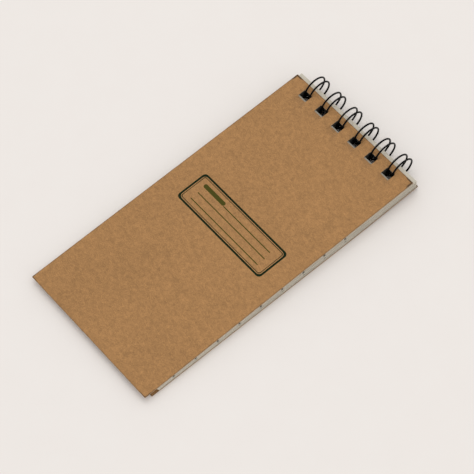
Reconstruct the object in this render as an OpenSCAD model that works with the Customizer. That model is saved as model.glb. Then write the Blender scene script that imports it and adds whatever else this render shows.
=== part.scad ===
// Pocket notebook bound along its short edge with a twin-loop wire.
// It lies closed on a table: X along the bound edge, Y towards the wire, Z up.
// The wire passes under the back cover's bound end and lifts it, so the covers
// and leaves fan from a thin free end to a thick bound end.

/* [Covers] */
// Width of both covers, along the bound edge
cover_width = 89; // [86:0.5:110]
// Length of both covers, from the free end to the bound edge
cover_length = 180; // [120:1:210]
// Thickness of the cover board
cover_thickness = 0.5; // [0.3:0.05:0.6]

/* [Leaves] */
// Number of leaves between the covers
leaf_count = 28; // [10:1:28]
// Width of a leaf
leaf_width = 88.4; // [86:0.2:110]
// Length of a leaf, from its free end to its bound edge
leaf_length = 174.5; // [110:0.5:175]
// Thickness of a leaf
leaf_thickness = 0.09; // [0.06:0.01:0.1]

/* [Punched holes] */
// Number of twin loops, and of holes along the bound edge
loop_count = 6; // [3:1:6]
// Distance from one hole to the next
loop_pitch = 12.7; // [12.7:0.1:14]
// Size of a hole along the bound edge
hole_width = 5.8; // [5:0.1:6.4]
// Size of a hole across the bound edge
hole_length = 5.1; // [5:0.05:5.4]
// Board between a hole and a cover's bound edge
cover_margin = 3.6; // [3.5:0.05:3.65]
// Paper between a hole and a leaf's bound edge
leaf_margin = 4.8; // [4.6:0.05:4.85]

/* [Wire] */
// Diameter of the coated wire
wire_diameter = 1; // [0.8:0.05:1.05]
// Distance between the two strands of one loop
strand_gap = 3.6; // [3.2:0.1:3.8]
// Radius of a loop, to the middle of the wire
ring_radius = 7; // [6.98:0.01:7.05]

/* [How the stack lies] */
// Height of the front cover's underside above the table at its free end
free_height = 3.55; // [3.5:0.05:6]
// Height of the front cover's underside above the table at its bound edge
bound_height = 9.45; // [9.4:0.05:9.5]
// Height of the back cover's underside at its bound edge, above the wire
back_lift = 2; // [1.95:0.05:2.1]
// How far from the front cover's bound edge the stack starts to bend up
bend_distance = 40; // [30:1:60]

/* [Hidden] */
$fn = 48;

// How far beyond the front cover's bound edge the other pieces reach: the loops
// lean the stack, so lower sheets lie further towards the wire.
ring_shift = 2.3;
back_shift = 4;
last_leaf_shift = 3.2;
first_leaf_shift = 2.4;

// The origin is in the middle of the footprint, from the front cover's free
// end to the outside of the loops.
wire_radius = wire_diameter / 2;
front_bound_y = (cover_length - ring_shift - ring_radius - wire_radius) / 2;
back_bound_y = front_bound_y + back_shift;
bend_y = front_bound_y - bend_distance;
ring_y = front_bound_y + ring_shift;
ring_z = ring_radius + wire_radius;

// The wire's ends meet under the back cover. Each loop's rounded tip lies on the
// table, and stops just short of the roots, which run along X between loops.
tip_angle = 270;
joint_gap = 0.002;
root_angle = -66;
strand_radius = strand_gap / 2;
bend_radius = 1.2;
end_stub = 1.5;

// Tall enough for a punch to pass through any sheet
punch_height = 40;

// Leaf 1 lies under the front cover.
function leaf_name(i) = str("leaf_", i < 10 ? "0" : "", i);

function loop_x(i) = (i - (loop_count - 1) / 2) * loop_pitch;

// Height of the back cover's underside at y
function under_z(y) =
    y < bend_y ? 0 : back_lift * (y - bend_y) / (back_bound_y - bend_y);

// Height of the front cover's underside at y
function over_z(y) =
    bound_height + (bound_height - free_height) * (y - front_bound_y) / cover_length;

// Height at y of a layer that lies a share of the way up between the covers
function layer_z(y, share) =
    let (low = under_z(y) + cover_thickness)
    low + share * (over_z(y) - low);

function leaf_share(i) = 1 - (i - 0.5) / leaf_count;

function leaf_bound_y(i) =
    front_bound_y + last_leaf_shift
    + leaf_share(i) * (first_leaf_shift - last_leaf_shift);

// A row of punched holes through a sheet, a margin from its bound edge
module punched_holes(bound_y, margin) {
    for (i = [0 : loop_count - 1])
        translate([
            loop_x(i) - hole_width / 2,
            bound_y - margin - hole_length,
            -punch_height / 2
        ])
            cube([hole_width, hole_length, punch_height]);
}

// A side outline, drawn as [y, z] points, carried across the notebook's width
module across(width) {
    translate([-width / 2, 0, 0])
        rotate([90, 0, 90])
            linear_extrude(width)
                children();
}

module front_cover() {
    free_y = front_bound_y - cover_length;
    color([0.65, 0.49, 0.32])
        difference() {
            across(cover_width)
                polygon([
                    [free_y, over_z(free_y)],
                    [front_bound_y, over_z(front_bound_y)],
                    [front_bound_y, over_z(front_bound_y) + cover_thickness],
                    [free_y, over_z(free_y) + cover_thickness]
                ]);
            punched_holes(front_bound_y, cover_margin);
        }
}

module back_cover() {
    free_y = back_bound_y - cover_length;
    color([0.65, 0.49, 0.32])
        difference() {
            across(cover_width)
                polygon([
                    [free_y, 0],
                    [bend_y, 0],
                    [back_bound_y, back_lift],
                    [back_bound_y, back_lift + cover_thickness],
                    [bend_y, cover_thickness],
                    [free_y, cover_thickness]
                ]);
            punched_holes(back_bound_y, cover_margin);
        }
}

module leaf(i) {
    bound_y = leaf_bound_y(i);
    free_y = bound_y - leaf_length;
    share = leaf_share(i);
    half = leaf_thickness / 2;
    color([0.85, 0.83, 0.78])
        difference() {
            across(leaf_width)
                polygon([
                    [free_y, layer_z(free_y, share) - half],
                    [bend_y, layer_z(bend_y, share) - half],
                    [bound_y, layer_z(bound_y, share) - half],
                    [bound_y, layer_z(bound_y, share) + half],
                    [bend_y, layer_z(bend_y, share) + half],
                    [free_y, layer_z(free_y, share) + half]
                ]);
            punched_holes(bound_y, leaf_margin);
        }
}

// Carries a piece from the middle of a loop out to an angle on it, where local
// Z follows the wire round.
module on_ring(angle) {
    rotate([angle, 0, 0])
        translate([0, ring_radius, 0])
            children();
}

// A stretch of wire bent round the local Y axis, from start to start + turn
module wire_arc(radius, start, turn) {
    rotate([90, 0, 0])
        rotate([0, 0, start])
            rotate_extrude(angle = turn)
                translate([radius, 0])
                    circle(d = wire_diameter);
}

module strand() {
    rotate([0, 0, 90])
        wire_arc(ring_radius, root_angle, tip_angle - root_angle);
}

// The rounded end that joins the two strands of a loop. It is a solid of its
// own, which meets them face to face.
module tip() {
    on_ring(tip_angle)
        translate([0, 0, joint_gap])
            wire_arc(strand_radius, 0, 180);
}

// The quarter turn from a strand to the root beside it, on the left or right
module root_bend(side) {
    on_ring(root_angle)
        rotate([0, 0, side > 0 ? 0 : 180])
            translate([bend_radius, 0, 0])
                wire_arc(bend_radius, 180, 90);
}

// A straight root along X
module root(from_x, to_x) {
    translate([from_x, 0, 0])
        on_ring(root_angle)
            translate([0, 0, -bend_radius])
                rotate([0, 90, 0])
                    cylinder(h = to_x - from_x, d = wire_diameter);
}

module loop() {
    for (side = [-1, 1])
        translate([side * strand_radius, 0, 0]) {
            strand();
            root_bend(side);
        }
    tip();
}

module wire_binding() {
    half_loop = strand_radius + bend_radius;
    first_x = loop_x(0) - half_loop;
    last_x = loop_x(loop_count - 1) + half_loop;
    color([0.04, 0.04, 0.045])
        translate([0, ring_y, ring_z]) {
            for (i = [0 : loop_count - 1])
                translate([loop_x(i), 0, 0])
                    loop();
            for (i = [1 : loop_count - 1])
                root(loop_x(i - 1) + half_loop, loop_x(i) - half_loop);
            root(first_x - end_stub, first_x);
            root(last_x, last_x + end_stub);
        }
}

wire_binding();
front_cover();
back_cover();
for (i = [1 : leaf_count])
    leaf(i);
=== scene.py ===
# The looks of a pocket notebook bound with a twin-loop wire, closed on a table.
# X runs along the bound edge, Y towards the wire and Z up. Lengths are in metres.
import math
import random

import bpy
import numpy as np
from mathutils import Matrix, Vector
from mathutils.geometry import delaunay_2d_cdt


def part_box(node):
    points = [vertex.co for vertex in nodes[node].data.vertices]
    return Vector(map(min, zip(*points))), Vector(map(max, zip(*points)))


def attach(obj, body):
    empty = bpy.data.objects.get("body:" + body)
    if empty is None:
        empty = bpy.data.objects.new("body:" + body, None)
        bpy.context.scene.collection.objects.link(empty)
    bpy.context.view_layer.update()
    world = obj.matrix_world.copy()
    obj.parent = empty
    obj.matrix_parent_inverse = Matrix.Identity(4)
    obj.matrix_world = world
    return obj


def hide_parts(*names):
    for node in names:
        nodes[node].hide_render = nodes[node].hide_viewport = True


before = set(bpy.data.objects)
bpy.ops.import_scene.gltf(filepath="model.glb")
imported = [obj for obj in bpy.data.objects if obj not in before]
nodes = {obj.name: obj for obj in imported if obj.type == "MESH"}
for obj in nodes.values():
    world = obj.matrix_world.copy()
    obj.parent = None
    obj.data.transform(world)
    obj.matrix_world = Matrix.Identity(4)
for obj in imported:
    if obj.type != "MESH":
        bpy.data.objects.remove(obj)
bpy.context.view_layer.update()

MM = 0.001
SEED = 7

leaves = sorted(name for name in nodes if name.startswith("leaf_"))

# ---------------------------------------------------------------- sizes

# Punched holes, the same in every sheet
HOLE_COUNT = 6
HOLE_PITCH = 12.7 * MM
HOLE_WIDTH = 5.8 * MM
HOLE_LENGTH = 5.1 * MM
COVER_MARGIN = 3.6 * MM
LEAF_MARGIN = 4.8 * MM
HOLE_CORNER = 0.5 * MM

# Twin-loop wire
WIRE_DIAMETER = 1 * MM
RING_RADIUS = 7 * MM
STRAND_GAP = 3.6 * MM
ROOT_BEND = 1.2 * MM
ROOT_ANGLE = math.radians(-66)
TIP_ANGLE = math.radians(270)
END_STUB = 1.5 * MM

# Sheets
COVER_WIDTH = 89 * MM
COVER_LENGTH = 180 * MM
COVER_THICKNESS = 0.5 * MM
LEAF_WIDTH = 88.4 * MM
LEAF_THICKNESS = 0.09 * MM

# Bevel of a sheet's rims, radius of its corners, and distance between the points of its mesh
COVER_RIM = 0.06 * MM
COVER_CORNER = 0.35 * MM
COVER_STEP = 5 * MM
LEAF_RIM = 0.02 * MM
LEAF_CORNER = 0.3 * MM
LEAF_STEP = 6 * MM

# Points of a sheet's outline closer than this become one
MERGE_DISTANCE = 1e-4 * MM

# How far to either side of its fold a sheet's height is eased, and at how many points
FOLD_REACH = 14 * MM
FOLD_SAMPLES = 15


def hole_x(i):
    return (i - (HOLE_COUNT - 1) / 2) * HOLE_PITCH


# ---------------------------------------------------------------- sheets

def profile(node):
    """Y stations along a CAD sheet, and the height of its middle at each."""
    co = np.array([v.co for v in nodes[node].data.vertices])
    stations = np.unique(co[:, 1].round(6))
    heights = []
    for y in stations:
        z = co[np.abs(co[:, 1] - y) < 2e-6, 2]
        heights.append((z.min() + z.max()) / 2)
    return stations, np.array(heights)


def smooth_height(node):
    """The sheet's height at any Y, with the knee of its fold eased into a curve."""
    stations, heights = profile(node)
    start = (heights[1] - heights[0]) / (stations[1] - stations[0])
    end = (heights[-1] - heights[-2]) / (stations[-1] - stations[-2])

    def straight(y):
        inside = np.interp(y, stations, heights)
        before = np.minimum(y - stations[0], 0) * start
        after = np.maximum(y - stations[-1], 0) * end
        return inside + before + after

    offsets = np.linspace(-FOLD_REACH, FOLD_REACH, FOLD_SAMPLES)
    return lambda y: float(np.mean(straight(y + offsets)))


def rounded_rect(x, y, width, length, radius, steps=5):
    """Anticlockwise points round a rectangle with rounded corners."""
    points = []
    for quarter in range(4):
        turn = quarter * math.pi / 2
        side_x = 1 if quarter in (0, 3) else -1
        side_y = 1 if quarter in (0, 1) else -1
        cx = x + side_x * (width / 2 - radius)
        cy = y + side_y * (length / 2 - radius)
        for k in range(steps + 1):
            a = turn + k / steps * math.pi / 2
            points.append((cx + radius * math.cos(a), cy + radius * math.sin(a)))
    return points


def spread(points, step):
    """The same loop of points, with more of them along its long sides."""
    out = []
    for a, b in zip(points, points[1:] + points[:1]):
        count = max(1, round(math.dist(a, b) / step))
        out += [(a[0] + (b[0] - a[0]) * k / count, a[1] + (b[1] - a[1]) * k / count)
                for k in range(count)]
    return out


def sheet_mesh(name, width, length, thickness, margin, rim, corner, step):
    """A flat punched sheet, with its bound edge along Y = 0 and its free end at Y = -length.

    Its holes are a margin from the bound edge, and its rims are bevelled by rim. The vertex
    attribute "cut" keeps where each point was on the flat sheet. Faces on the outer cut edges
    have material 1, and those round the holes material 2.
    """
    hole_y = -margin - HOLE_LENGTH / 2
    outlines = [((0, -length / 2), (width, length), corner, 1)]
    outlines += [((hole_x(i), hole_y), (HOLE_WIDTH, HOLE_LENGTH), HOLE_CORNER, -1)
                 for i in range(HOLE_COUNT)]
    inner, outer = [], []
    for (x, y), (w, h), radius, side in outlines:
        edge = spread(rounded_rect(x, y, w, h, radius), step)
        # the inner loop follows the edge point by point, one bevel further into the paper
        scale_x = (w - 2 * side * rim) / w
        scale_y = (h - 2 * side * rim) / h
        inset = [(x + (px - x) * scale_x, y + (py - y) * scale_y) for px, py in edge]
        if side < 0:
            edge.reverse()
            inset.reverse()
        outer.append(edge)
        inner.append(inset)

    flat, loops = [], []
    for loop in inner:
        loops.append(list(range(len(flat), len(flat) + len(loop))))
        flat += [Vector(p) for p in loop]
    # a grid of points fills the sheet, and keeps clear of every edge
    clear = 0.6 * step

    def near_hole(x, y):
        beside = any(abs(x - hole_x(i)) < HOLE_WIDTH / 2 + clear for i in range(HOLE_COUNT))
        return beside and abs(y - hole_y) < HOLE_LENGTH / 2 + clear

    for gx in np.arange(-width / 2 + step, width / 2 - clear, step):
        for gy in np.arange(-length + step, -clear, step):
            if not near_hole(gx, gy):
                flat.append(Vector((gx, gy)))
    edges = [(a, b) for loop in loops for a, b in zip(loop, loop[1:] + loop[:1])]
    points, _, triangles, origin, _, _ = delaunay_2d_cdt(flat, edges, [], 0, MERGE_DISTANCE)
    place = {old: new for new, olds in enumerate(origin) for old in olds}

    def in_hole(triangle):
        cx = sum(points[k].x for k in triangle) / 3
        cy = sum(points[k].y for k in triangle) / 3
        return abs(cy - hole_y) < HOLE_LENGTH / 2 and any(
            abs(cx - hole_x(i)) < HOLE_WIDTH / 2 for i in range(HOLE_COUNT))

    half = thickness / 2
    count = len(points)
    verts = [(p.x, p.y, half) for p in points] + [(p.x, p.y, -half) for p in points]
    faces, slots = [], []
    for triangle in triangles:
        if in_hole(triangle):
            continue
        a, b, c = triangle
        faces += [(a, b, c), (c + count, b + count, a + count)]
        slots += [0, 0]
    for i, (loop, edge) in enumerate(zip(loops, outer)):
        n = len(edge)
        wall = 2 if i else 1
        upper = len(verts)
        verts += [(x, y, half - rim) for x, y in edge]
        lower = len(verts)
        verts += [(x, y, rim - half) for x, y in edge]
        rings = [[place[k] for k in loop], list(range(upper, upper + n)),
                 list(range(lower, lower + n)), [place[k] + count for k in loop]]
        for top, bottom in zip(rings, rings[1:]):
            for k in range(n):
                m = (k + 1) % n
                faces.append((bottom[k], bottom[m], top[m], top[k]))
                slots.append(wall)
    mesh = bpy.data.meshes.new(name)
    mesh.from_pydata(verts, [], faces)
    mesh.polygons.foreach_set("material_index", slots)
    cut = mesh.attributes.new("cut", "FLOAT_VECTOR", "POINT")
    cut.data.foreach_set("vector", np.array(verts, np.float32).ravel())
    return mesh


def finish_mesh(mesh, sharp=math.radians(30)):
    mesh.polygons.foreach_set("use_smooth", [True] * len(mesh.polygons))
    mesh.set_sharp_from_angle(angle=sharp)
    mesh.validate()
    mesh.update()


def add_object(name, mesh, materials):
    obj = bpy.data.objects.new(name, mesh)
    bpy.context.scene.collection.objects.link(obj)
    for material in materials:
        obj.data.materials.append(material)
    return obj


def waves(rng, count, shortest, longest):
    """A smooth random field over the sheet, about -1 to 1."""
    parts = []
    for _ in range(count):
        length = rng.uniform(shortest, longest)
        heading = rng.uniform(0, math.tau)
        parts.append((math.cos(heading) * math.tau / length,
                      math.sin(heading) * math.tau / length, rng.uniform(0, math.tau)))
    return lambda x, y: sum(math.sin(kx * x + ky * y + p) for kx, ky, p in parts) / count


# ---------------------------------------------------------------- materials

class Nodes:
    """A material's node tree, with one short call for each kind of node."""

    def __init__(self, name):
        self.material = bpy.data.materials.new(name)
        self.material.use_nodes = True
        self.tree = self.material.node_tree
        self.tree.nodes.clear()
        self.shader = self.add("ShaderNodeBsdfPrincipled")
        output = self.add("ShaderNodeOutputMaterial")
        self.join(self.shader.outputs[0], output.inputs["Surface"])

    def add(self, kind, **settings):
        node = self.tree.nodes.new(kind)
        for key, value in settings.items():
            setattr(node, key, value)
        return node

    def join(self, source, socket):
        if isinstance(source, bpy.types.NodeSocket):
            self.tree.links.new(source, socket)
        else:
            socket.default_value = source

    def set(self, **values):
        for key, value in values.items():
            self.shader.inputs[key.replace("_", " ")].default_value = value

    def math(self, operation, *values):
        node = self.add("ShaderNodeMath", operation=operation)
        for value, socket in zip(values, node.inputs):
            self.join(value, socket)
        return node.outputs[0]

    def place(self, scale=(1, 1, 1), turn=0.0, shift=(0, 0, 0)):
        """Object coordinates, turned about Z and scaled to 1/metres."""
        coords = self.add("ShaderNodeTexCoord")
        mapping = self.add("ShaderNodeMapping")
        mapping.inputs["Rotation"].default_value = (0, 0, turn)
        mapping.inputs["Location"].default_value = shift
        self.join(coords.outputs["Object"], mapping.inputs["Vector"])
        stretch = self.add("ShaderNodeVectorMath", operation="MULTIPLY")
        self.join(mapping.outputs[0], stretch.inputs[0])
        stretch.inputs[1].default_value = scale
        return stretch.outputs[0]

    def noise(self, vector, scale, detail, roughness, distortion=0.0):
        """Noise with scale cells in each metre, or in each unit of a scaled vector."""
        node = self.add("ShaderNodeTexNoise")
        self.join(vector, node.inputs["Vector"])
        node.inputs["Scale"].default_value = scale
        node.inputs["Detail"].default_value = detail
        node.inputs["Roughness"].default_value = roughness
        node.inputs["Distortion"].default_value = distortion
        return node.outputs["Fac"]

    def span(self, value, low, high, to_low=0.0, to_high=1.0, smooth=False):
        """The value's place between low and high, as a number from to_low to to_high."""
        curve = "SMOOTHSTEP" if smooth else "LINEAR"
        node = self.add("ShaderNodeMapRange", interpolation_type=curve)
        self.join(value, node.inputs["Value"])
        for key, number in (("From Min", low), ("From Max", high),
                            ("To Min", to_low), ("To Max", to_high)):
            self.join(number, node.inputs[key])
        return node.outputs[0]

    def mix(self, factor, a, b):
        """Colour a where the factor is 0, and colour b where it is 1."""
        node = self.add("ShaderNodeMix", data_type="RGBA")
        self.join(factor, node.inputs["Factor"])
        # the node has a pair of inputs for each kind of value, and these two are its colours
        self.join(a, node.inputs[6])
        self.join(b, node.inputs[7])
        return node.outputs[2]

    def fibres(self, length, width, turn, low, high):
        """A mask of thin fibres that all lie about one way."""
        along = self.place((1 / length, 1 / width, 1 / width), turn, (0, 0, turn))
        strands = self.noise(along, scale=1, detail=1, roughness=0.4, distortion=0.6)
        return self.span(strands, low, high, smooth=True)

    def specks(self, spacing, size):
        """A mask of small round specks, in about half of the cells."""
        node = self.add("ShaderNodeTexVoronoi")
        self.join(self.place((1 / spacing,) * 3), node.inputs["Vector"])
        node.inputs["Scale"].default_value = 1.0
        edge = size / spacing
        near = self.span(node.outputs["Distance"], edge, 0.6 * edge, smooth=True)
        split = self.add("ShaderNodeSeparateColor")
        self.join(node.outputs["Color"], split.inputs[0])
        return self.math("MULTIPLY", near, self.math("GREATER_THAN", split.outputs[0], 0.5))

    def bump(self, height, distance, strength=1.0):
        node = self.add("ShaderNodeBump")
        node.inputs["Distance"].default_value = distance
        node.inputs["Strength"].default_value = strength
        self.join(height, node.inputs["Height"])
        self.join(node.outputs[0], self.shader.inputs["Normal"])


def srgb(r, g, b):
    """A colour given as 0 to 255, as the linear values that a shader takes."""
    def linear(c):
        c /= 255
        return c / 12.92 if c <= 0.04045 else ((c + 0.055) / 1.055) ** 2.4
    return (linear(r), linear(g), linear(b), 1)


def shade(tone, share):
    """A 0 to 255 colour made lighter or darker, as linear values."""
    return srgb(*(min(255, c * share) for c in tone))


# The board's fibres: length, width, direction in radians, how light they are, and their strength
KRAFT_FIBRES = (
    (2.6 * MM, 0.20 * MM, 0.35, 1.28, 0.42),
    (1.8 * MM, 0.16 * MM, 1.9, 1.24, 0.38),
    (1.5 * MM, 0.14 * MM, 2.9, 1.24, 0.34),
    (2.2 * MM, 0.18 * MM, 2.7, 0.68, 0.36),
    (1.6 * MM, 0.15 * MM, 1.15, 0.72, 0.34),
)


def kraft(name, tone, edge=False):
    """Brown kraft board: mottled, with short light and dark fibres and a few specks."""
    n = Nodes(name)
    cloud = n.noise(n.place(), scale=24, detail=2, roughness=0.5)
    mottle = n.noise(n.place(), scale=420, detail=4, roughness=0.62, distortion=0.4)
    grain = n.noise(n.place(), scale=1700, detail=3, roughness=0.7)
    mixed = n.math("ADD", n.math("MULTIPLY", cloud, 0.14), n.math("MULTIPLY", mottle, 0.46))
    mixed = n.math("ADD", mixed, n.math("MULTIPLY", grain, 0.4))
    colour = n.mix(n.span(mixed, 0.34, 0.66), shade(tone, 0.865), shade(tone, 1.125))
    fibre_height = 0.0
    for length, width, turn, share, amount in KRAFT_FIBRES:
        mask = n.fibres(length, width, turn, 0.58, 0.7)
        colour = n.mix(n.math("MULTIPLY", mask, amount), colour, shade(tone, share))
        fibre_height = n.math("ADD", mask, fibre_height)
    specks = n.specks(2.6 * MM, 0.13 * MM)
    colour = n.mix(n.math("MULTIPLY", specks, 0.55), colour, shade(tone, 0.45))
    if edge:
        layers = n.noise(n.place((300, 300, 14000)), scale=1, detail=2, roughness=0.6)
        colour = n.mix(n.span(layers, 0.4, 0.7, 0.3, 0.8), colour, srgb(176, 160, 138))
    else:
        # a darker line along the border, with painted shadow near the corners
        colour = n.mix(n.math("MULTIPLY", border_line_and_painted_corner_shadow(n), 0.92), colour, shade(tone, 0.3))
    n.join(colour, n.shader.inputs["Base Color"])
    n.join(n.span(mixed, 0.3, 0.7, 0.86, 0.7), n.shader.inputs["Roughness"])
    n.set(Specular_IOR_Level=0.28, Sheen_Weight=0.06, Sheen_Roughness=0.5)
    height = n.math("ADD", n.math("MULTIPLY", grain, 0.7), n.math("MULTIPLY", fibre_height, 0.35))
    n.bump(height, 0.035 * MM, 0.8)
    return n.material


def border_line_and_painted_corner_shadow(n):
    """A mask of a darker, uneven line along a cover's border.

    Near the corners the line is darker, and near those at the bound edge also wider: this is
    painted shadow, as where the corners lift off the leaves.
    """
    across, along = cut_position(n)
    from_side = n.math("SUBTRACT", COVER_WIDTH / 2, n.math("ABSOLUTE", across))
    from_middle = n.math("ABSOLUTE", n.math("ADD", along, COVER_LENGTH / 2))
    from_end = n.math("SUBTRACT", COVER_LENGTH / 2, from_middle)
    nearest = n.math("MINIMUM", from_side, from_end)
    farther = n.math("MAXIMUM", from_side, from_end)
    corner = n.span(farther, 5.5 * MM, 3 * MM, smooth=True)
    bound_corner = n.math("MULTIPLY", corner, n.math("GREATER_THAN", along, -COVER_LENGTH / 2))
    wander = n.noise(n.place(), scale=260, detail=3, roughness=0.6)
    uneven = n.span(wander, 0.3, 0.7, 0.3 * MM, 0.65 * MM)
    width = n.math("ADD", uneven, n.math("MULTIPLY", bound_corner, 0.8 * MM))
    line = n.span(nearest, width, n.math("MULTIPLY", width, 0.5), smooth=True)
    return n.math("MULTIPLY", line, n.span(corner, 0.0, 1.0, 0.45, 0.9))


# Ruled lines run across the leaves, and end before they reach the sides. Where they start and
# end is measured from the bound edge.
RULE_PITCH = 7.14 * MM
RULE_START = 21.3 * MM
RULE_END = 168 * MM
RULE_WIDTH = 0.24 * MM
RULE_INK = (70, 74, 70)
RULE_INSET = 0.9 * MM

# On some leaves every second line, from the fifth, has a broad tick of ink at the side, which has
# bled over the cut edge.
TICK_START = RULE_START + 4 * RULE_PITCH
TICK_WIDTH = 1.2 * MM
TICK_LENGTH = 0.6 * MM
TICK_INK = (14, 13, 11)


def cut_position(n):
    """Where a point of the sheet lay across it and along it, when it was flat."""
    cut = n.add("ShaderNodeAttribute", attribute_name="cut")
    split = n.add("ShaderNodeSeparateXYZ")
    n.join(cut.outputs["Vector"], split.inputs[0])
    return split.outputs["X"], split.outputs["Y"]


def stripes(n, start, pitch, width):
    """A mask of stripes across the leaf. The first is at start, measured from the bound edge."""
    _, along = cut_position(n)
    down = n.math("MULTIPLY", along, -1.0)
    steps = n.math("DIVIDE", n.math("SUBTRACT", down, start - pitch / 2), pitch)
    off = n.math("ABSOLUTE", n.math("SUBTRACT", n.math("FRACT", steps), 0.5))
    line = n.span(off, width / pitch * 0.65, width / pitch * 0.35)
    below = n.math("GREATER_THAN", down, start - pitch / 2)
    above = n.math("LESS_THAN", down, RULE_END)
    return n.math("MULTIPLY", n.math("MULTIPLY", line, below), above)


def ruled_lines(n):
    across, _ = cut_position(n)
    inside = n.math("LESS_THAN", n.math("ABSOLUTE", across), LEAF_WIDTH / 2 - RULE_INSET)
    return n.math("MULTIPLY", stripes(n, RULE_START, RULE_PITCH, RULE_WIDTH), inside)


def ink_ticks(n):
    across, _ = cut_position(n)
    at_side = n.math("GREATER_THAN", n.math("ABSOLUTE", across), LEAF_WIDTH / 2 - TICK_LENGTH)
    return n.math("MULTIPLY", stripes(n, TICK_START, 2 * RULE_PITCH, TICK_WIDTH), at_side)


def from_hole(n, reach_x, reach_y):
    """A mask round a leaf's holes, which ends at reach_x beside them and reach_y before and after."""
    across, along = cut_position(n)
    steps = n.math("FRACT", n.math("DIVIDE", across, HOLE_PITCH))
    aside = n.math("MULTIPLY", n.math("ABSOLUTE", n.math("SUBTRACT", steps, 0.5)), HOLE_PITCH)
    away = n.math("ABSOLUTE", n.math("ADD", along, LEAF_MARGIN + HOLE_LENGTH / 2))
    near_x = n.span(aside, HOLE_WIDTH / 2 + reach_x, HOLE_WIDTH / 2 + reach_x * 0.2, smooth=True)
    near_y = n.span(away, HOLE_LENGTH / 2 + reach_y, HOLE_LENGTH / 2 + reach_y * 0.2, smooth=True)
    in_row = n.math("LESS_THAN", n.math("ABSOLUTE", across), HOLE_COUNT / 2 * HOLE_PITCH)
    return n.math("MULTIPLY", n.math("MULTIPLY", near_x, near_y), in_row)


# The paper's fibres: length, and direction in radians
PAPER_FIBRES = ((1.6 * MM, 0.6), (1.3 * MM, 2.2))


def paper(name, tone, prints=(), wear_and_painted_shade=False):
    """Uncoated warm grey paper. Prints are pairs of a function that makes a mask, and an ink."""
    n = Nodes(name)
    cloud = n.noise(n.place(), scale=45, detail=2, roughness=0.5)
    grain = n.noise(n.place(), scale=2400, detail=3, roughness=0.6)
    mixed = n.math("ADD", n.math("MULTIPLY", cloud, 0.5), n.math("MULTIPLY", grain, 0.5))
    colour = n.mix(n.span(mixed, 0.35, 0.65), shade(tone, 0.95), shade(tone, 1.03))
    for length, turn in PAPER_FIBRES:
        mask = n.fibres(length, 0.08 * MM, turn, 0.62, 0.74)
        colour = n.mix(n.math("MULTIPLY", mask, 0.22), colour, shade(tone, 0.8))
    for mask, print_ink in prints:
        breaks = n.span(n.noise(n.place(), scale=900, detail=2, roughness=0.5), 0.3, 0.6, 0.6, 0.9)
        colour = n.mix(n.math("MULTIPLY", mask(n), breaks), colour, srgb(*print_ink))
    if wear_and_painted_shade:
        # painted shade and shadow of the deep holes: the paper is grey round them, and nearly black
        # at their sides
        rubbed = from_hole(n, 1.8 * MM, 2.4 * MM)
        colour = n.mix(n.math("MULTIPLY", rubbed, 0.6), colour, shade(tone, 0.5))
        painted_hole_shadow = from_hole(n, 1.1 * MM, 0.1 * MM)
        colour = n.mix(n.math("MULTIPLY", painted_hole_shadow, 0.92), colour, srgb(16, 15, 14))
    n.join(colour, n.shader.inputs["Base Color"])
    n.join(n.span(grain, 0.3, 0.7, 0.92, 0.8), n.shader.inputs["Roughness"])
    n.set(Specular_IOR_Level=0.2)
    n.bump(grain, 0.015 * MM, 0.6)
    return n.material


def coated_wire():
    """Black nylon-coated steel wire: satin, with faint draw marks and rubbed spots."""
    n = Nodes("coated_wire_black")
    marks = n.noise(n.place(), scale=1500, detail=3, roughness=0.6)
    patches = n.noise(n.place(), scale=260, detail=2, roughness=0.5)
    rub = n.span(patches, 0.58, 0.72, smooth=True)
    colour = n.mix(rub, srgb(6, 6, 7), srgb(15, 14, 14))
    n.join(colour, n.shader.inputs["Base Color"])
    n.join(n.span(marks, 0.3, 0.7, 0.3, 0.44), n.shader.inputs["Roughness"])
    n.set(Specular_IOR_Level=0.12)
    n.bump(marks, 0.01 * MM, 0.5)
    return n.material


def ink(name, tone):
    """Flat printing ink that lets a little of the board's grain through."""
    n = Nodes(name)
    grain = n.noise(n.place(), scale=2100, detail=3, roughness=0.65)
    wear_and_painted_shade = n.span(grain, 0.58, 0.76, 0.0, 0.4, smooth=True)
    faded = srgb(*(c * 0.5 + 45 for c in tone))
    n.join(n.mix(wear_and_painted_shade, srgb(*tone), faded), n.shader.inputs["Base Color"])
    n.join(n.span(grain, 0.3, 0.7, 0.74, 0.62), n.shader.inputs["Roughness"])
    n.set(Specular_IOR_Level=0.12)
    n.bump(grain, 0.012 * MM, 0.5)
    return n.material


def pale_floor():
    n = Nodes("floor_pale")
    grain = n.noise(n.place(), scale=60, detail=3, roughness=0.5)
    colour = n.mix(grain, srgb(238, 233.4, 229.4), srgb(236.4, 231, 226.8))
    n.join(colour, n.shader.inputs["Base Color"])
    n.set(Roughness=0.95, Specular_IOR_Level=0.0)
    return n.material


KRAFT_TONE = (161, 119.5, 74.5)
# The leaves' faces and cut edges are one paper. The cut edges are painted lighter, as painted light,
# and the faces' tone is darkened a little, as painted shade.
PAPER_TONE = (200, 193, 178)
EDGE_TONE_PAINTED_LIGHT = (230, 221, 205)
board_face = kraft("kraft_board_face", KRAFT_TONE)
board_edge = kraft("kraft_board_cut_edge", KRAFT_TONE, edge=True)
RULING = (ruled_lines, RULE_INK)
TICKS = (ink_ticks, TICK_INK)
paper_face = paper("leaf_paper_face", PAPER_TONE, [RULING], wear_and_painted_shade=True)
paper_face_inked = paper("leaf_paper_face_inked", PAPER_TONE, [RULING, TICKS], wear_and_painted_shade=True)
paper_edge = paper("leaf_paper_cut_edge", EDGE_TONE_PAINTED_LIGHT)
paper_edge_inked = paper("leaf_paper_cut_edge_inked", EDGE_TONE_PAINTED_LIGHT, [TICKS])
# the punched edges round the holes are nearly black: painted shade of the deep holes
paper_punched = paper("leaf_paper_punched_edge_painted_shade", (34, 32, 29))
wire_black = coated_wire()
ink_green = ink("ink_dark_green", (10, 30, 5))
ink_olive = ink("ink_olive", (70, 68, 18))


# ---------------------------------------------------------------- covers and leaves

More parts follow.
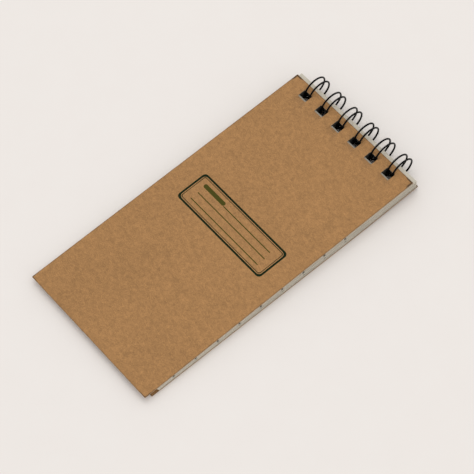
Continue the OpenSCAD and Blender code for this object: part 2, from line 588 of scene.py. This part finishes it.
# The loops leave the sheets a little play. The front cover has slid left and the upper leaves
# right: LEAF_SLIDE is the slide at the top and at the bottom of the stack. Each leaf has also slid
# and turned a little by itself, by up to LEAF_PLAY, LEAF_DROP and LEAF_SKEW.
COVER_SLIDE = -0.22 * MM
LEAF_SLIDE = (0.3 * MM, -0.05 * MM)
LEAF_PLAY = 0.15 * MM
LEAF_DROP = 0.2 * MM
LEAF_SKEW = math.radians(0.05)

# Half of the height that the front cover's warp reaches
COVER_WARP = 0.06 * MM

# Heights of the leaves' waves at the free end, and what is added to them at the bound edge
STACK_WAVE = (0.05 * MM, 0.3 * MM)
LEAF_WAVE = (0.004 * MM, 0.045 * MM)

rng = random.Random(SEED)
stack_wave = waves(rng, 4, 70 * MM, 160 * MM)
cover_wave = waves(rng, 3, 120 * MM, 240 * MM)
free_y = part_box(leaves[-1])[0].y
bound_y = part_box(leaves[-1])[1].y


def fan(y):
    """How far along the stack y is, from 0 at the free end to 1 at the bound edge."""
    return min(1.0, max(0.0, (y - free_y) / (bound_y - free_y)))


def wave_height(wave, y):
    at_free_end, added = wave
    return at_free_end + added * fan(y)


def cover_lift(x, y):
    """The gentle warp of a cover board, which never presses into the leaf beneath it."""
    return COVER_WARP * (1 + cover_wave(x, y))


def add_cover(node, piece, body, warp, slide=0.0):
    low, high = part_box(node)
    height = smooth_height(node)
    mesh = sheet_mesh(piece, high.x - low.x, high.y - low.y, COVER_THICKNESS, COVER_MARGIN,
                      COVER_RIM, COVER_CORNER, COVER_STEP)
    for v in mesh.vertices:
        x, y = v.co.x + slide, v.co.y + high.y
        v.co = (x, y, v.co.z + height(y) + warp(x, y))
    finish_mesh(mesh)
    cover = add_object(piece, mesh, [board_face, board_edge, board_edge])
    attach(cover, body)
    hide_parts(node)
    return height


front_height = add_cover("front_cover", "front_cover_board", "front_cover", cover_lift, COVER_SLIDE)
add_cover("back_cover", "back_cover_board", "base", lambda x, y: 0.0)


# The leaves whose ruled lines have bled over the cut edge, counted from 0 at the top
INKED_LEAVES = (0, 1, 2, 3, 4, 5, 6, 15, 16)


def add_leaf(i, node):
    """Leaf i of the stack, counted from the top."""
    low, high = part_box(node)
    height = smooth_height(node)
    share = 1 - (i + 0.5) / len(leaves)
    leaf_rng = random.Random(SEED * 100 + i)
    own_wave = waves(leaf_rng, 3, 40 * MM, 110 * MM)
    top_slide, bottom_slide = LEAF_SLIDE
    slide_x = bottom_slide + (top_slide - bottom_slide) * share
    slide_x += leaf_rng.uniform(-LEAF_PLAY, LEAF_PLAY)
    # the lowest leaves lie tight on the back cover
    loose = min(1, 8 * share)
    slide_y = leaf_rng.uniform(-LEAF_DROP, 0) * loose
    skew = leaf_rng.uniform(-LEAF_SKEW, LEAF_SKEW)
    mesh = sheet_mesh(node + "_sheet", high.x - low.x, high.y - low.y, LEAF_THICKNESS, LEAF_MARGIN,
                      LEAF_RIM, LEAF_CORNER, LEAF_STEP)
    for v in mesh.vertices:
        x = v.co.x * math.cos(skew) - v.co.y * math.sin(skew) + slide_x
        y = v.co.x * math.sin(skew) + v.co.y * math.cos(skew) + high.y + slide_y
        shared = math.sin(math.pi * share) * wave_height(STACK_WAVE, y) * stack_wave(x, y)
        own = loose * wave_height(LEAF_WAVE, y) * own_wave(x, y)
        v.co = (x, y, v.co.z + height(y) + shared + own)
    finish_mesh(mesh)
    inked = i in INKED_LEAVES
    face, edge = (paper_face_inked, paper_edge_inked) if inked else (paper_face, paper_edge)
    leaf = add_object(node + "_sheet", mesh, [face, edge, paper_punched])
    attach(leaf, node)
    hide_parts(node)


for index, leaf_node in enumerate(leaves):
    add_leaf(index, leaf_node)


# ---------------------------------------------------------------- printed label

# The middle of the label, measured from the cover's centre line and from its bound edge
LABEL_X = 0.5 * MM + COVER_SLIDE
LABEL_Y = -85.5 * MM
LABEL_WIDTH = 64 * MM
LABEL_LENGTH = 20 * MM

# A broad frame, a thin frame inside it, a short bar and three thin lines to write on
FRAME_LINE = 1.1 * MM
INNER_INSET = 1.6 * MM
INNER_LINE = 0.35 * MM
BAR_WIDTH = 16 * MM
BAR_LENGTH = 2.4 * MM
RULE_LINE = 0.55 * MM
LONG_RULE = 52 * MM
SHORT_RULE = 36 * MM
OUTLINE_STEP = 3 * MM

# How far the ink stands out of the board, and how far it is sunk into it
INK_TOP = 0.02 * MM
INK_BOTTOM = -0.04 * MM

_, front_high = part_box("front_cover")


def ink_shape(name, pieces, material):
    """Flat areas of ink on the front cover, each a closed loop of points with an optional hole."""
    verts, faces = [], []
    for outer, hole in pieces:
        def ring(points, z):
            start = len(verts)
            for x, y in points:
                x, y = x + LABEL_X, y + front_high.y + LABEL_Y
                surface = front_height(y) + cover_lift(x, y) + COVER_THICKNESS / 2
                verts.append((x, y, surface + z))
            return list(range(start, len(verts)))
        upper, lower = ring(outer, INK_TOP), ring(outer, INK_BOTTOM)
        n = len(outer)
        faces += [(lower[k], lower[(k + 1) % n], upper[(k + 1) % n], upper[k]) for k in range(n)]
        if hole:
            in_upper, in_lower = ring(hole, INK_TOP), ring(hole, INK_BOTTOM)
            for k in range(n):
                m = (k + 1) % n
                faces += [(in_upper[k], in_upper[m], in_lower[m], in_lower[k]),
                          (upper[k], upper[m], in_upper[m], in_upper[k]),
                          (in_lower[k], in_lower[m], lower[m], lower[k])]
        else:
            faces += [tuple(upper), tuple(reversed(lower))]
    mesh = bpy.data.meshes.new(name)
    mesh.from_pydata(verts, [], faces)
    mesh.validate()
    obj = add_object(name, mesh, [material])
    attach(obj, "front_cover")


def frame_loops(x, y, width, length, radius, line):
    """The outside and inside of a rounded frame, point for point."""
    outside = spread(rounded_rect(x, y, width, length, radius), OUTLINE_STEP)
    scale_x, scale_y = (width - 2 * line) / width, (length - 2 * line) / length
    inside = [(x + (px - x) * scale_x, y + (py - y) * scale_y) for px, py in outside]
    return outside, inside


def bar(x, y, width, length):
    radius = min(width, length) * 0.45
    return spread(rounded_rect(x, y, width, length, radius, 3), OUTLINE_STEP), None


inner_width = LABEL_WIDTH - 2 * INNER_INSET
inner_length = LABEL_LENGTH - 2 * INNER_INSET
ink_shape("label_frame", [
    frame_loops(0, 0, LABEL_WIDTH, LABEL_LENGTH, 2.2 * MM, FRAME_LINE),
    frame_loops(0, 0, inner_width, inner_length, 1.2 * MM, INNER_LINE),
], ink_green)
ink_shape("label_lines", [
    bar(-LABEL_WIDTH / 2 + 13 * MM, LABEL_LENGTH / 2 - 5.2 * MM, BAR_WIDTH, BAR_LENGTH),
    bar(7 * MM, LABEL_LENGTH / 2 - 6.2 * MM, SHORT_RULE, RULE_LINE),
    bar(0, -0.6 * MM, LONG_RULE, RULE_LINE),
    bar(0, -5.4 * MM, LONG_RULE, RULE_LINE),
], ink_olive)


# ---------------------------------------------------------------- twin-loop wire

# Points along each strand, the angle between points of its bends, and how far a strand bows aside
STRAND_POINTS = 120
BEND_STEP = math.radians(15)
STRAND_BOW = 0.12 * MM


def wire_path():
    """The wire's centre line, drawn flat as (x, distance round the ring) and then curled."""
    half = STRAND_GAP / 2
    start, end = ROOT_ANGLE * RING_RADIUS, TIP_ANGLE * RING_RADIUS
    root = start - ROOT_BEND
    flat = [(hole_x(0) - half - ROOT_BEND - END_STUB, root)]
    wire_rng = random.Random(SEED + 1)
    strand = np.linspace(start, end, STRAND_POINTS)
    quarter = [(ROOT_BEND * math.sin(k * BEND_STEP), ROOT_BEND * math.cos(k * BEND_STEP))
               for k in range(7)]
    for i in range(HOLE_COUNT):
        x = hole_x(i)
        lean = wire_rng.uniform(-STRAND_BOW, STRAND_BOW)

        def sway(s):
            return lean * math.sin(math.pi * (s - start) / (end - start))

        flat += [(x - half - ROOT_BEND + a, start - b) for a, b in quarter]
        flat += [(x - half + sway(s), s) for s in strand[1:-1]]
        for k in range(13):
            a = k * BEND_STEP
            flat.append((x - half * math.cos(a), end + half * math.sin(a)))
        flat += [(x + half + sway(s), s) for s in strand[-2:0:-1]]
        flat += [(x + half + ROOT_BEND - b, start - a) for a, b in quarter]
    flat.append((hole_x(HOLE_COUNT - 1) + half + ROOT_BEND + END_STUB, root))
    low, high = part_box("wire_binding")
    centre_y = high.y - RING_RADIUS - WIRE_DIAMETER / 2
    centre_z = low.z + RING_RADIUS + WIRE_DIAMETER / 2
    path = []
    for x, s in flat:
        angle = s / RING_RADIUS
        point = Vector((x, centre_y + RING_RADIUS * math.cos(angle),
                        centre_z + RING_RADIUS * math.sin(angle)))
        if not path or (point - path[-1]).length > 0.02 * MM:
            path.append(point)
    return path


def tube_mesh(name, path, radius, sides=16):
    """A round tube along a path, with domed ends."""
    tangents = [(path[min(i + 1, len(path) - 1)] - path[max(i - 1, 0)]).normalized()
                for i in range(len(path))]
    normal = tangents[0].orthogonal().normalized()
    rings = []
    for i, (point, tangent) in enumerate(zip(path, tangents)):
        if i:
            normal = tangents[i - 1].rotation_difference(tangent) @ normal
        normal = (normal - tangent * normal.dot(tangent)).normalized()
        rings.append((point, tangent, normal.copy(), radius))

    def dome(ring, outward):
        point, tangent, side, _ = ring
        caps = []
        for a in (math.radians(35), math.radians(65)):
            tip = point + tangent * outward * radius * 0.6 * math.sin(a)
            caps.append((tip, tangent, side, radius * math.cos(a)))
        return caps

    rings = list(reversed(dome(rings[0], -1))) + rings + dome(rings[-1], 1)
    verts, faces = [], []
    for point, tangent, side, r in rings:
        across = tangent.cross(side)
        for k in range(sides):
            a = k * math.tau / sides
            verts.append(point + (side * math.cos(a) + across * math.sin(a)) * r)
    for i in range(len(rings) - 1):
        for k in range(sides):
            m = (k + 1) % sides
            faces.append((i * sides + k, i * sides + m, (i + 1) * sides + m, (i + 1) * sides + k))
    faces.append(tuple(reversed(range(sides))))
    faces.append(tuple(range((len(rings) - 1) * sides, len(rings) * sides)))
    mesh = bpy.data.meshes.new(name)
    mesh.from_pydata(verts, [], faces)
    return mesh


wire_mesh = tube_mesh("twin_loop_wire", wire_path(), WIRE_DIAMETER / 2)
finish_mesh(wire_mesh, math.radians(60))
wire = add_object("twin_loop_wire", wire_mesh, [wire_black])
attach(wire, "base")
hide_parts("wire_binding")


# ---------------------------------------------------------------- floor, light and camera

FLOOR_RADIUS = 6.0
FLOOR_SIDES = 96
floor_mesh = bpy.data.meshes.new("floor")
floor_turns = [k * math.tau / FLOOR_SIDES for k in range(FLOOR_SIDES)]
floor_ring = [(FLOOR_RADIUS * math.cos(a), FLOOR_RADIUS * math.sin(a), 0) for a in floor_turns]
floor_mesh.from_pydata(floor_ring, [], [tuple(range(FLOOR_SIDES))])
floor = add_object("floor", floor_mesh, [pale_floor()])

scene = bpy.context.scene
scene.view_settings.view_transform = "Standard"
scene.view_settings.look = "None"

world = bpy.data.worlds.new("studio")
world.use_nodes = True
background = world.node_tree.nodes["Background"]
background.inputs["Color"].default_value = (1.0, 0.99, 0.98, 1)
background.inputs["Strength"].default_value = 0.81
scene.world = world


def softbox(name, position, size, power):
    light = bpy.data.lights.new(name, "AREA")
    light.shape = "SQUARE"
    light.size = size
    light.energy = power
    obj = bpy.data.objects.new(name, light)
    obj.location = position
    obj.rotation_euler = (-Vector(position)).to_track_quat("-Z", "Y").to_euler()
    scene.collection.objects.link(obj)


softbox("key_softbox", (-0.55, 0.45, 1.9), 1.3, 6.5)
softbox("fill_softbox", (0.7, -0.4, 1.8), 1.4, 3.4)

# The camera looks down over the free end's right corner, from a little more than a metre away.
AZIMUTH = math.radians(48.87)
ELEVATION = math.radians(60.96)
DISTANCE = 1018.6 * MM
AIM = Vector((0, -4.9 * MM, 7 * MM))
FRAMING = (6.22 * MM, -3.74 * MM)

back = Vector((math.sin(AZIMUTH) * math.cos(ELEVATION), -math.cos(AZIMUTH) * math.cos(ELEVATION),
               math.sin(ELEVATION)))
right = Vector((math.cos(AZIMUTH), math.sin(AZIMUTH), 0))
up = back.cross(right)
camera_data = bpy.data.cameras.new("camera")
camera_data.lens = 151.9
camera_data.sensor_width = 36
camera_data.clip_start = 0.05
camera = bpy.data.objects.new("camera", camera_data)
eye = AIM + right * FRAMING[0] + up * FRAMING[1] + back * DISTANCE
facing = Matrix((right, up, back)).transposed().to_4x4()
camera.matrix_world = Matrix.Translation(eye) @ facing
scene.collection.objects.link(camera)
scene.camera = camera
